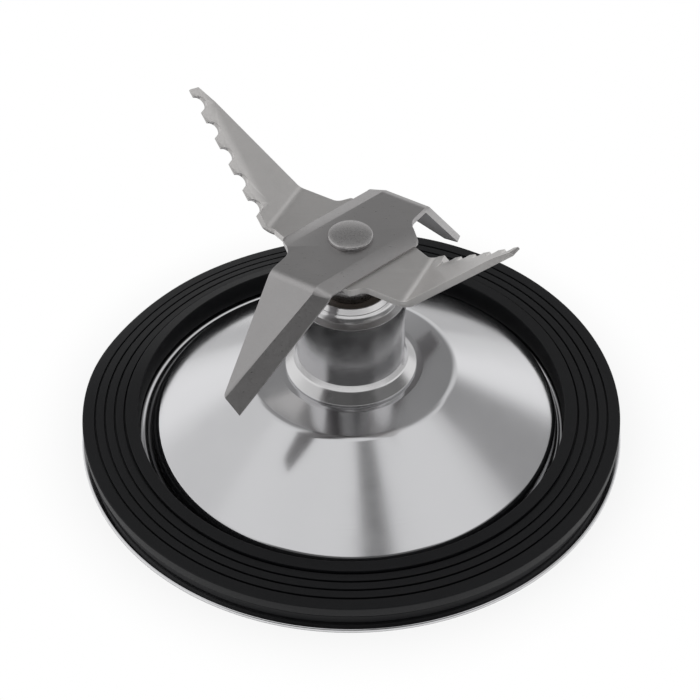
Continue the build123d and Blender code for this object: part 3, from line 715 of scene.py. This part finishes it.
class BLADE_OT_blades(bpy.types.Operator):
    """Both ground blades, with their edges eased"""

    bl_idname = "blade.blades"
    bl_label = "Blades"

    def execute(self, context):
        finish, grind = settings("finish"), settings("grind")
        for node, base, turn, dull in (
            ("upper_blade", finish.upper_blade, grind.upper_grain, grind.upper_dull),
            ("lower_blade", finish.lower_blade, grind.lower_grain, grind.lower_dull),
        ):
            steel = ground_steel(node + "_steel", base, turn, dull)
            bm = eased_copy(node, settings("edge").blade)
            finished(node + "_ground", bm, "rotor", node, steel)
        return {"FINISHED"}


class BLADE_OT_shaft(bpy.types.Operator):
    """Shaft with its collar and peened head"""

    bl_idname = "blade.shaft"
    bl_label = "Shaft"

    def execute(self, context):
        base, dull = settings("finish").upper_blade, settings("grind").shaft_dull
        steel = ground_steel("shaft_steel", base, 0.0, dull)
        bm = eased_copy("drive_shaft", settings("edge").shaft)
        finished("peened_shaft", bm, "rotor", "drive_shaft", steel)
        return {"FINISHED"}


class BLADE_OT_inner_parts(bpy.types.Operator):
    """Seal, bearings, clips, nut and coupling"""

    bl_idname = "blade.inner_parts"
    bl_label = "Inner Parts"

    def execute(self, context):
        plated = plated_steel()
        bearing = bearing_steel()
        dressed(painted_light_seal(), "seal_lip")
        dressed(plated, "seal_case", "upper_ball_cage", "lower_ball_cage",
                "upper_bearing_shields", "lower_bearing_shields")
        dressed(bearing, "upper_outer_ring", "lower_outer_ring", "upper_inner_ring",
                "lower_inner_ring", "upper_bearing_balls", "lower_bearing_balls")
        dressed(bpy.data.materials["turned_steel"], "outer_spacer", "inner_spacer")
        dressed(spring_steel(), "housing_circlip", "shaft_circlip")
        dressed(turned_brass(), "coupling_insert")
        nylon, edge = moulded_nylon(), settings("edge")
        for node, body, width, slot, finish in (
            ("clamp_nut", "base", edge.nut, "plated_steel", plated),
            ("lock_washer", "base", edge.washer, "plated_steel", plated),
            ("drive_coupling", "rotor", edge.coupling, "coupling_plastic", nylon),
        ):
            bm = eased_copy(node, width)
            finished(node + "_eased", bm, body, node, finish)
        return {"FINISHED"}


class BLADE_OT_stage(bpy.types.Operator):
    """Floor, studio light and camera"""

    bl_idname = "blade.stage"
    bl_label = "Stage"

    def execute(self, context):
        self.floor(context)
        self.sky(context)
        self.softbox(context)
        self.camera(context)
        return {"FINISHED"}

    def floor(self, context):
        """Flat floor just below the object."""
        stage = settings("stage")
        bm = bmesh.new()
        bmesh.ops.create_grid(bm, x_segments=1, y_segments=1, size=stage.floor_size / 2)
        below = CAD_BOX[0].z - stage.floor_gap
        bmesh.ops.translate(bm, verts=bm.verts[:], vec=(0, 0, below))
        mesh = bpy.data.meshes.new("floor")
        bm.to_mesh(mesh)
        bm.free()
        mesh.materials.append(self.pale(stage))
        panel = bpy.data.objects.new("floor", mesh)
        context.scene.collection.objects.link(panel)

    def pale(self, stage):
        """Pale floor that shows white to the camera and keeps a soft shadow."""
        graph = Graph("pale_floor")
        path = graph.add("ShaderNodeLightPath").outputs
        seen = graph.math("MAXIMUM", path["Is Camera Ray"], path["Is Glossy Ray"])
        seen = graph.math("MAXIMUM", seen, path["Is Transmission Ray"])
        length = graph.add("ShaderNodeVectorMath", {"operation": "LENGTH"})
        graph.feed(length.inputs[0], graph.place)
        reach = length.outputs["Value"]
        # The shadow shows close to the object only
        clear = graph.scaled(reach, 0.05, 0.07, 0.85, 1.0)
        # The steel mirrors the floor further out less brightly, least of all in front
        axes = graph.add("ShaderNodeSeparateXYZ", Vector=graph.place).outputs
        ahead = graph.math("DIVIDE", axes["Y"], reach)
        far = graph.scaled(ahead, -0.85, -0.60, 0.2, 0.6)
        dim = graph.blend(graph.scaled(reach, 0.068, 0.09, 0.0, 1.0), 1.0, far)
        level = graph.math("MAXIMUM", path["Is Camera Ray"], dim)
        glow = graph.add("ShaderNodeEmission", Color=(1.0, 1.0, 1.0, 1.0), Strength=level)
        matte = graph.finish((*stage.floor_colour, 1.0), roughness=0.9, metallic=0.0)
        blend = graph.add("ShaderNodeMixShader")
        graph.feed(blend.inputs[0], graph.math("MULTIPLY", seen, clear))
        graph.feed(blend.inputs[1], graph.shader.outputs["BSDF"])
        graph.feed(blend.inputs[2], glow.outputs["Emission"])
        output = graph.tree.nodes["Material Output"]
        graph.feed(output.inputs["Surface"], blend.outputs["Shader"])
        return matte

    def sky(self, context):
        """Studio dome: white at the horizon, dim behind the object and behind the lens."""
        graph = Graph("studio", "worlds", "Background", "Generated")
        context.scene.world = graph.owner
        axes = graph.add("ShaderNodeSeparateXYZ", Vector=graph.place).outputs
        up = axes["Z"]
        flat = graph.math("SQRT", graph.math("SUBTRACT", 1.0, graph.math("POWER", up, 2.0)))
        flat = graph.math("MAXIMUM", flat, 0.001)
        across = graph.math("DIVIDE", axes["X"], flat)
        ahead = graph.math("DIVIDE", axes["Y"], flat)
        side = graph.math("ABSOLUTE", graph.math("SUBTRACT", axes["X"], 0.12))
        light = graph.scaled(up, 0.30, 0.50, 1.0, 0.74)
        for mask, level in (
            # Behind the object
            (graph.sector((ahead, 0.80, 0.93), (up, 0.92, 0.80)),
             graph.scaled(up, 0.25, 0.60, 0.78, 0.27)),
            # High behind the object
            (graph.sector((ahead, 0.60, 0.76), (up, 0.74, 0.80), (up, 0.95, 0.90)), 0.30),
            # Right of the object
            (graph.sector((across, 0.66, 0.80), (up, 0.26, 0.36), (up, 0.73, 0.68)),
             graph.scaled(ahead, 0.05, 0.30, 0.20, 0.37)),
            # Room behind the lens
            (graph.sector((ahead, -0.53, -0.74), (up, 0.93, 0.82)),
             graph.scaled(up, 0.20, 0.35, 0.92, 0.12)),
            # Slit above the lens
            (graph.sector((side, 0.10, 0.05), (axes["Y"], -0.02, -0.12), (up, 0.5, 0.6)), 0.10),
        ):
            light = graph.blend(mask, light, level)
        graph.feed(graph.shader.inputs["Strength"], light)
        graph.shader.inputs["Color"].default_value = (1.0, 1.0, 1.0, 1.0)

    def softbox(self, context):
        """A large soft lamp that faces straight down."""
        stage = settings("stage")
        lamp = bpy.data.lights.new("overhead_box", "AREA")
        lamp.shape = "RECTANGLE"
        lamp.size, lamp.size_y = stage.box_size
        lamp.energy = stage.box_level * pi * lamp.size * lamp.size_y
        made = bpy.data.objects.new("overhead_box", lamp)
        made.location = stage.box_place
        context.scene.collection.objects.link(made)

    def camera(self, context):
        """Camera at the photograph's angle."""
        stage = settings("stage")
        lens = bpy.data.cameras.new("camera")
        lens.lens = stage.lens
        lens.sensor_width = 36.0
        lens.clip_start = 0.01
        made = bpy.data.objects.new("camera", lens)
        back = Vector((0, -cos(stage.elevation), sin(stage.elevation))) * stage.distance
        turn = Matrix.Rotation(pi / 2 - stage.elevation, 4, "X")
        roll = Matrix.Rotation(stage.roll, 4, "Z")
        made.matrix_world = Matrix.Translation(Vector(stage.aim) + back) @ turn @ roll
        context.scene.collection.objects.link(made)
        context.scene.camera = made
        context.scene.view_settings.view_transform = "Standard"


class BLADE_PT_panel(bpy.types.Panel):
    """Lists the pieces of the blade assembly"""

    bl_idname = "BLADE_PT_panel"
    bl_label = "Blade Assembly"
    bl_space_type = "VIEW_3D"
    bl_region_type = "UI"
    bl_category = "Blade Assembly"

    def draw(self, context):
        for operator in OPERATORS:
            self.layout.operator(operator.bl_idname)
        for name, group in GROUPS.items():
            box = self.layout.box()
            box.label(text=name.title())
            for key in group.__annotations__:
                box.prop(settings(name), key)


OPERATORS = (BLADE_OT_dish, BLADE_OT_ring, BLADE_OT_tower, BLADE_OT_blades, BLADE_OT_shaft,
             BLADE_OT_inner_parts, BLADE_OT_stage)
GROUPS = {
    "dish": DishSettings,
    "ring": RingSettings,
    "tower": TowerSettings,
    "edge": EdgeSettings,
    "grind": GrindSettings,
    "finish": FinishSettings,
    "stage": StageSettings,
}


def register():
    """Registers the classes and puts the settings on the scene."""
    for made in (*GROUPS.values(), *OPERATORS, BLADE_PT_panel):
        bpy.utils.register_class(made)
    for name, group in GROUPS.items():
        setattr(bpy.types.Scene, "blade_" + name, PointerProperty(type=group))


def unregister():
    """Takes the settings and classes away again."""
    for name in GROUPS:
        delattr(bpy.types.Scene, "blade_" + name)
    for made in reversed((*GROUPS.values(), *OPERATORS, BLADE_PT_panel)):
        bpy.utils.unregister_class(made)


def main():
    register()
    for operator in OPERATORS:
        family, name = operator.bl_idname.split(".")
        getattr(getattr(bpy.ops, family), name)()


if __name__ == "__main__":
    main()
